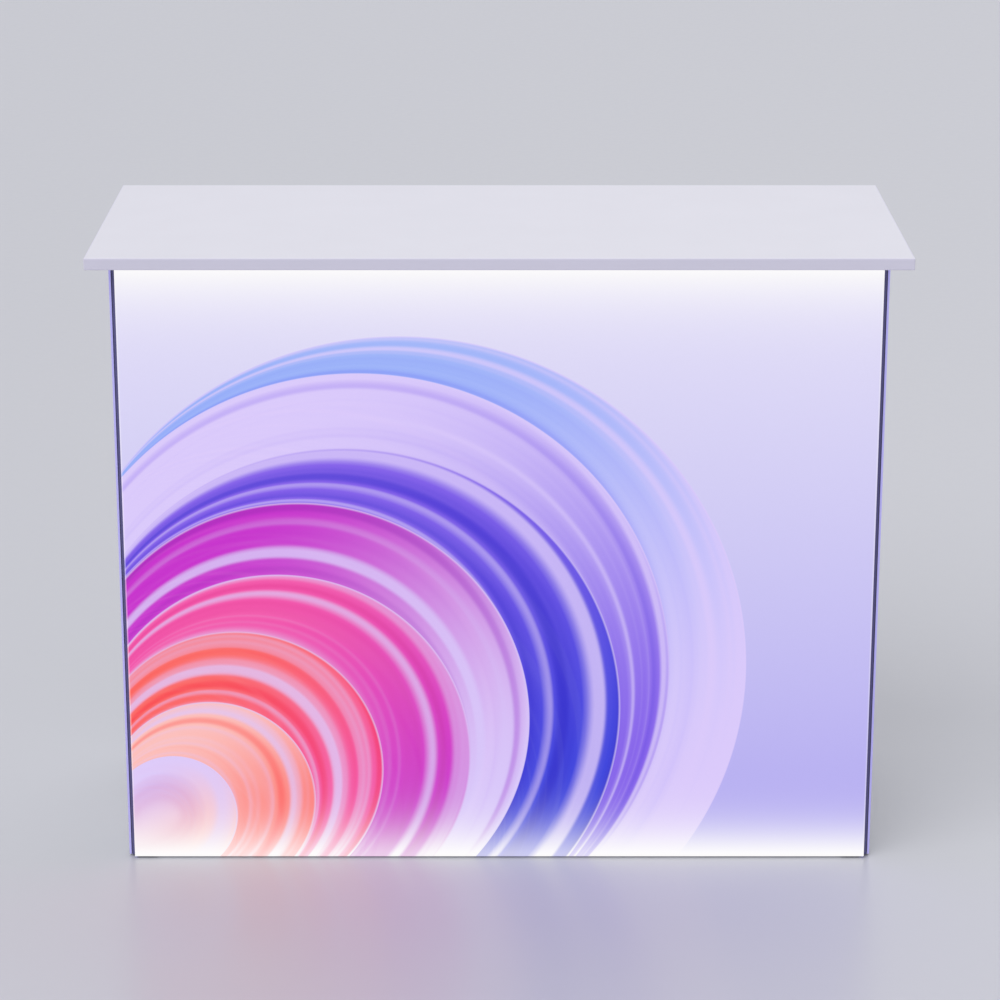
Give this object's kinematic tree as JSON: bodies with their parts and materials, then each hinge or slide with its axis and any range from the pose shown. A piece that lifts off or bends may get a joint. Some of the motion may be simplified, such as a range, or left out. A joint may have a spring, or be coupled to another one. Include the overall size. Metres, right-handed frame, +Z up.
{
  "type": "pop-up display counter",
  "caption": "Folding illuminated display counter with a backlit fabric front, overhanging white countertop, hinged side panels, rear frame and folding shelf.",
  "frame": {"origin": "on the floor, under the middle of the countertop", "axes": "+X to the right as the lit front is seen, +Y from the front to the back, +Z up"},
  "size_m": [1.25, 0.54, 0.99],
  "materials": {
    "laminate_white": "white laminated board, satin",
    "edge_band_white": "white edge band, satin",
    "board_white": "white laminated board, satin",
    "frame_aluminium": "anodised, satin",
    "printed_fabric": "printed stretch polyester, lit from behind",
    "silicone": "dark violet-grey, matte",
    "white_sheet": "white foamed sheet, matte",
    "zinc_steel": "zinc plated",
    "hinge_steel": "satin",
    "lens_clear": "clear moulded",
    "driver_case": "dark grey, matte",
    "black_plastic": "moulded, matte",
    "rocker_black": "moulded, gloss",
    "magnet_nickel": "nickel plated"
  },
  "bodies": {
    "front_lightbox": {"frame_post_left": "frame_aluminium", "frame_post_right": "frame_aluminium", "frame_rail_top": "frame_aluminium", "frame_rail_bottom": "frame_aluminium", "frame_corner_brackets": "zinc_steel", "frame_bracket_screws": "zinc_steel", "graphic_fabric": "printed_fabric", "silicone_bead": "silicone", "reflector_panel": "white_sheet", "rear_cover": "white_sheet", "rear_cover_screws": "zinc_steel", "shelf_bar": "frame_aluminium", "led_channel_top": "frame_aluminium", "led_channel_bottom": "frame_aluminium", "led_lenses_top": "lens_clear", "led_lenses_bottom": "lens_clear", "led_driver": "driver_case", "inlet_socket": "black_plastic", "switch_housing": "black_plastic", "front_feet": "black_plastic", "front_post_caps": "black_plastic", "front_magnets": "magnet_nickel", "lightbox_hinge_leaves": "hinge_steel", "front_hinge_pins": "hinge_steel"},
    "left_front_leaf": {"left_front_panel": "board_white", "left_front_hinge_leaves": "hinge_steel", "left_middle_hinge_pin": "hinge_steel"},
    "left_rear_leaf": {"left_rear_panel": "board_white", "left_rear_hinge_leaves": "hinge_steel"},
    "right_front_leaf": {"right_front_panel": "board_white", "right_front_hinge_leaves": "hinge_steel", "right_middle_hinge_pin": "hinge_steel"},
    "right_rear_leaf": {"right_rear_panel": "board_white", "right_rear_hinge_leaves": "hinge_steel"},
    "rear_frame": {"rear_post_left": "frame_aluminium", "rear_post_right": "frame_aluminium", "rear_rail_top": "frame_aluminium", "rear_rail_bottom": "frame_aluminium", "rear_rail_middle": "frame_aluminium", "rear_corner_brackets": "zinc_steel", "rear_bracket_screws": "zinc_steel", "rear_feet": "black_plastic", "rear_post_caps": "black_plastic", "rear_magnets": "magnet_nickel", "rear_frame_hinge_leaves": "hinge_steel", "rear_hinge_pins": "hinge_steel"},
    "shelf_front": {"shelf_front_half": "board_white", "shelf_front_hinge_leaves": "hinge_steel", "shelf_middle_hinge_pin": "hinge_steel"},
    "shelf_rear": {"shelf_rear_half": "board_white", "shelf_rear_hinge_leaves": "hinge_steel"},
    "countertop": {"countertop_board": "laminate_white", "countertop_edge_band": "edge_band_white", "countertop_discs": "zinc_steel"},
    "rocker": {"switch_rocker": "rocker_black"}
  },
  "joints": [
    {"name": "fold", "type": "hinge", "parent": "front_lightbox", "child": "left_front_leaf", "pos_m": [-0.5727, -0.1557, 0.49], "axis": [0, 0, -1], "range_deg": [0, 90]},
    {"name": "left_middle", "type": "hinge", "parent": "left_front_leaf", "child": "left_rear_leaf", "pos_m": [-0.5973, 0.025, 0.49], "axis": [0, 0, 1], "range_deg": [0, 180]},
    {"name": "rear_frame_hinge", "type": "hinge", "parent": "left_rear_leaf", "child": "rear_frame", "pos_m": [-0.5727, 0.2057, 0.49], "axis": [0, 0, -1], "range_deg": [0, 90]},
    {"name": "right_front", "type": "hinge", "parent": "front_lightbox", "child": "right_front_leaf", "pos_m": [0.5727, -0.1557, 0.49], "axis": [0, 0, 1], "range_deg": [0, 90]},
    {"name": "right_middle", "type": "hinge", "parent": "right_front_leaf", "child": "right_rear_leaf", "pos_m": [0.5973, 0.025, 0.49], "axis": [0, 0, -1], "range_deg": [0, 180]},
    {"name": "shelf_front_hinge", "type": "hinge", "parent": "front_lightbox", "child": "shelf_front", "pos_m": [0, -0.1557, 0.5243], "axis": [1, 0, 0], "range_deg": [0, 90]},
    {"name": "shelf_middle", "type": "hinge", "parent": "shelf_front", "child": "shelf_rear", "pos_m": [0, 0.025, 0.4997], "axis": [-1, 0, 0], "range_deg": [0, 180]},
    {"name": "top_lift", "type": "slide", "parent": "front_lightbox", "child": "countertop", "axis": [0, 0, 1], "range_m": [0, 0.2]},
    {"name": "rocker_tilt", "type": "hinge", "parent": "front_lightbox", "child": "rocker", "pos_m": [0.19, -0.163, 0.083], "axis": [1, 0, 0], "range_deg": [0, 16]}
  ],
  "couplings": [
    {"joint": "left_middle", "follows": "fold", "ratio": 2},
    {"joint": "rear_frame_hinge", "follows": "fold", "ratio": 1},
    {"joint": "right_front", "follows": "fold", "ratio": 1},
    {"joint": "right_middle", "follows": "fold", "ratio": 2},
    {"joint": "shelf_front_hinge", "follows": "fold", "ratio": 1},
    {"joint": "shelf_middle", "follows": "fold", "ratio": 2}
  ]
}
